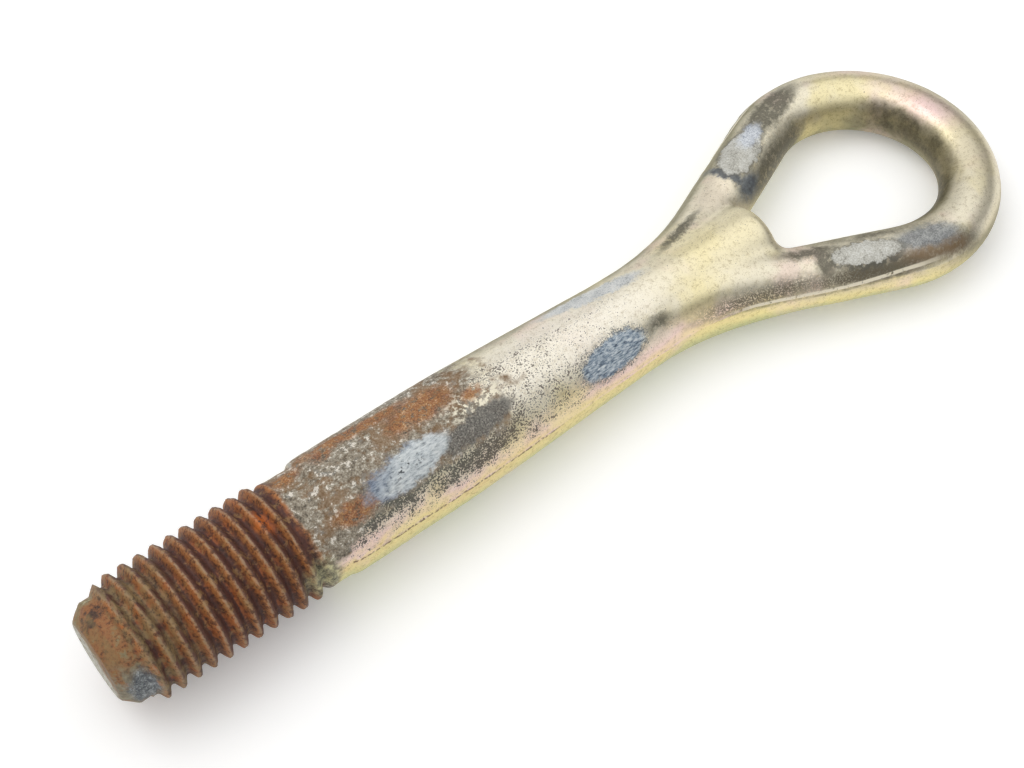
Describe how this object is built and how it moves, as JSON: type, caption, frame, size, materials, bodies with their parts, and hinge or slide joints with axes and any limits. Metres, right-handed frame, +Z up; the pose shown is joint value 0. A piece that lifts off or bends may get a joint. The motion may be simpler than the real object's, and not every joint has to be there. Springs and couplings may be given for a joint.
{
  "type": "tow eye",
  "caption": "Screw-in tow eye: forged steel shank with a threaded stud at one end and a teardrop eye at the other, to fasten a tow rope or shackle to a vehicle.",
  "frame": {"origin": "on the stud axis, where the full thread ends next to the neck", "axes": "-X along the stud axis towards its tip, +X towards the eye, +Z up, square to the flat of the eye"},
  "size_m": [0.1355, 0.0374, 0.0156],
  "materials": {
    "plated_steel": "satin yellow zinc plate, mottled and worn, rusty on the thread"
  },
  "bodies": {
    "root": {"tow_eye": "plated_steel"}
  },
  "joints": []
}
